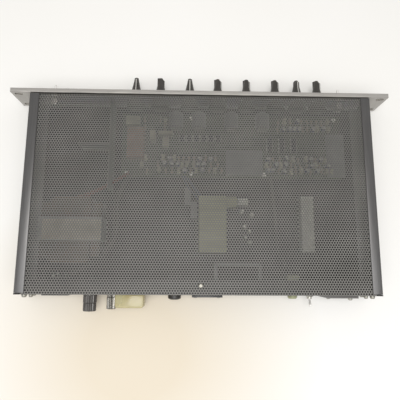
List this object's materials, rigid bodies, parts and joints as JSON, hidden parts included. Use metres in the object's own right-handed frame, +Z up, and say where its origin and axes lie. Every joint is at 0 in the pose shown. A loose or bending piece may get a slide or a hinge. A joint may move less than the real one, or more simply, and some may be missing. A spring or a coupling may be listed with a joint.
{
  "type": "rack equalizer",
  "caption": "Rack-mounting equalizer, one rack unit high: thick aluminium front panel with pointer knobs and toggle switches, perforated cover, and a row of rear connectors.",
  "frame": {"origin": "on the surface that the feet stand on, in the middle of the width and depth of the whole object", "axes": "+X to the right of someone facing the front panel, -Y out of the front panel, +Z up"},
  "size_m": [0.4826, 0.301, 0.0477],
  "materials": {
    "silver": "brushed, clear anodised",
    "rail": "black satin anodised",
    "cover": "grey satin paint on perforated sheet",
    "dark": "dark grey paint",
    "knob": "satin moulded plastic with a white pointer line",
    "steel": "nickel-plated",
    "chrome": "polished",
    "board": "green circuit board laminate",
    "plastic": "black moulded plastic",
    "amber": "aged clear plastic, amber",
    "brass": "dull brass",
    "iron": "varnished laminations",
    "yellow": "yellow insulating tape",
    "white": "white ceramic",
    "orange": "orange-brown plastic",
    "glass": "clear glass tube",
    "rubber": "black rubber"
  },
  "bodies": {
    "chassis": {"front_panel": "silver", "side_rail_left": "rail", "side_rail_right": "rail", "top_cover": "cover", "bottom_plate": "dark", "rear_panel": "dark", "cover_screw": "chrome", "main_board": "board", "shield_partition": "steel", "mains_transformer": "iron", "output_transformer": "yellow", "power_resistor": "white", "bypass_relay": "orange", "power_switch_body": "steel", "bypass_switch_body": "steel", "lift_switch_body": "steel", "fuse_holder": "plastic", "ground_post": "steel", "terminal_block": "plastic", "ac_inlet": "plastic", "voltage_selector": "dark", "input_jack": "plastic", "output_jack": "brass", "balanced_output": "cover", "foot_front_left": "rubber", "foot_rear_left": "rubber", "foot_front_right": "rubber", "foot_rear_right": "rubber", "pot_1": "steel", "pot_2": "steel", "pot_3": "steel", "pot_4": "steel", "pot_5": "steel", "pot_6": "steel", "pot_7": "steel", "pot_8": "steel"},
    "control_1": {"knob_1": "knob", "shaft_1": "steel"},
    "control_2": {"knob_2": "knob", "shaft_2": "steel"},
    "control_3": {"knob_3": "knob", "shaft_3": "steel"},
    "control_4": {"knob_4": "knob", "shaft_4": "steel"},
    "control_5": {"knob_5": "knob", "shaft_5": "steel"},
    "control_6": {"knob_6": "knob", "shaft_6": "steel"},
    "control_7": {"knob_7": "knob", "shaft_7": "steel"},
    "control_8": {"knob_8": "knob", "shaft_8": "steel"},
    "power_switch_lever": {"power_switch_lever": "chrome"},
    "bypass_switch_lever": {"bypass_switch_lever": "chrome"},
    "lift_switch_lever": {"lift_switch_lever": "chrome"},
    "fuse_carrier": {"glass_fuse": "glass"},
    "fuse_cap": {"fuse_cap": "plastic"},
    "ground_nut": {"ground_nut": "chrome"},
    "terminal_cover": {"terminal_cover": "amber"},
    "selector_slider": {"selector_slider": "white"}
  },
  "joints": [
    {"name": "control_1_turn", "type": "hinge", "parent": "chassis", "child": "control_1", "pos_m": [-0.1552, -0.1245, 0.02585], "axis": [0, 1, 0], "range_deg": [-102, 198]},
    {"name": "control_2_turn", "type": "hinge", "parent": "chassis", "child": "control_2", "pos_m": [-0.128, -0.1245, 0.02585], "axis": [0, 1, 0], "range_deg": [-138, 162]},
    {"name": "control_3_turn", "type": "hinge", "parent": "chassis", "child": "control_3", "pos_m": [-0.099, -0.1245, 0.02585], "axis": [0, 1, 0], "range_deg": [-100, 200]},
    {"name": "control_4_turn", "type": "hinge", "parent": "chassis", "child": "control_4", "pos_m": [-0.0607, -0.1245, 0.02585], "axis": [0, 1, 0], "range_deg": [-104, 196]},
    {"name": "control_5_turn", "type": "hinge", "parent": "chassis", "child": "control_5", "pos_m": [-0.0224, -0.1245, 0.02585], "axis": [0, 1, 0], "range_deg": [-90, 210]},
    {"name": "control_6_turn", "type": "hinge", "parent": "chassis", "child": "control_6", "pos_m": [0.0148, -0.1245, 0.02585], "axis": [0, 1, 0], "range_deg": [-150, 150]},
    {"name": "control_7_turn", "type": "hinge", "parent": "chassis", "child": "control_7", "pos_m": [0.0535, -0.1245, 0.02585], "axis": [0, 1, 0], "range_deg": [-60, 240]},
    {"name": "control_8_turn", "type": "hinge", "parent": "chassis", "child": "control_8", "pos_m": [0.0858, -0.1245, 0.02585], "axis": [0, 1, 0], "range_deg": [-150, 150]},
    {"name": "power_switch_flip", "type": "hinge", "parent": "chassis", "child": "power_switch_lever", "pos_m": [0.1913, -0.126, 0.02585], "axis": [1, 0, 0], "range_deg": [0, 24]},
    {"name": "bypass_switch_flip", "type": "hinge", "parent": "chassis", "child": "bypass_switch_lever", "pos_m": [-0.1827, -0.126, 0.02585], "axis": [1, 0, 0], "range_deg": [0, 24]},
    {"name": "lift_switch_flip", "type": "hinge", "parent": "chassis", "child": "lift_switch_lever", "pos_m": [-0.1345, 0.1318, 0.02585], "axis": [1, 0, 0], "range_deg": [-24, 0]},
    {"name": "fuse_pull", "type": "slide", "parent": "chassis", "child": "fuse_carrier", "axis": [0, 1, 0], "range_m": [0, 0.032]},
    {"name": "fuse_cap_turn", "type": "hinge", "parent": "fuse_carrier", "child": "fuse_cap", "pos_m": [0.1328, 0.1407, 0.02585], "axis": [0, 1, 0], "range_deg": [0, 90]},
    {"name": "ground_nut_turn", "type": "hinge", "parent": "chassis", "child": "ground_nut", "pos_m": [0.107, 0.1403, 0.02585], "axis": [0, 1, 0], "range_deg": [0, 540]},
    {"name": "terminal_cover_pull", "type": "slide", "parent": "chassis", "child": "terminal_cover", "axis": [0, 1, 0], "range_m": [0, 0.02]},
    {"name": "selector_slide", "type": "slide", "parent": "chassis", "child": "selector_slider", "axis": [1, 0, 0], "range_m": [0, 0.006]}
  ]
}
